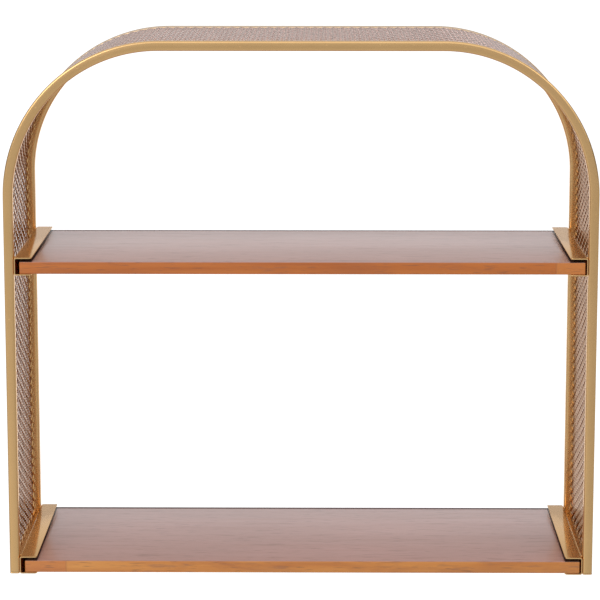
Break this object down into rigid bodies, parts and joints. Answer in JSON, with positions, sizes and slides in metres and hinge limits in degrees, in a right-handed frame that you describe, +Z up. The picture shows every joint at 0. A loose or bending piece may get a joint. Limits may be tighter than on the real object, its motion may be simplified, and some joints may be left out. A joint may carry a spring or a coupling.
{
  "type": "wall shelf",
  "caption": "Arched wall shelf: square-tube arches front and rear, a band of expanded metal between them, and wooden boards held in bent sheet channels.",
  "frame": {"origin": "on the wall face, at the middle of the rear arch's top run", "axes": "+Z up, +Y out of the back into the wall, +X along the shelves; the front faces -Y"},
  "size_m": [0.61, 0.203, 0.5588],
  "materials": {
    "gold_paint": "satin champagne gold paint",
    "expanded_metal": "satin champagne gold paint on expanded sheet",
    "wood": "satin lacquer",
    "screw_steel": "zinc plated"
  },
  "bodies": {
    "root": {"front_arch": "gold_paint", "rear_arch": "gold_paint", "front_left_foot_cap": "gold_paint", "front_right_foot_cap": "gold_paint", "rear_left_foot_cap": "gold_paint", "rear_right_foot_cap": "gold_paint", "left_foot_rail": "gold_paint", "right_foot_rail": "gold_paint", "expanded_metal_band": "expanded_metal", "lower_left_channel": "gold_paint", "lower_right_channel": "gold_paint", "upper_left_channel": "gold_paint", "upper_right_channel": "gold_paint", "lower_board": "wood", "upper_board": "wood", "lower_left_front_screw": "screw_steel", "lower_left_rear_screw": "screw_steel", "lower_right_front_screw": "screw_steel", "lower_right_rear_screw": "screw_steel", "upper_left_front_screw": "screw_steel", "upper_left_rear_screw": "screw_steel", "upper_right_front_screw": "screw_steel", "upper_right_rear_screw": "screw_steel", "left_keyhole_plate": "gold_paint", "right_keyhole_plate": "gold_paint"}
  },
  "joints": []
}
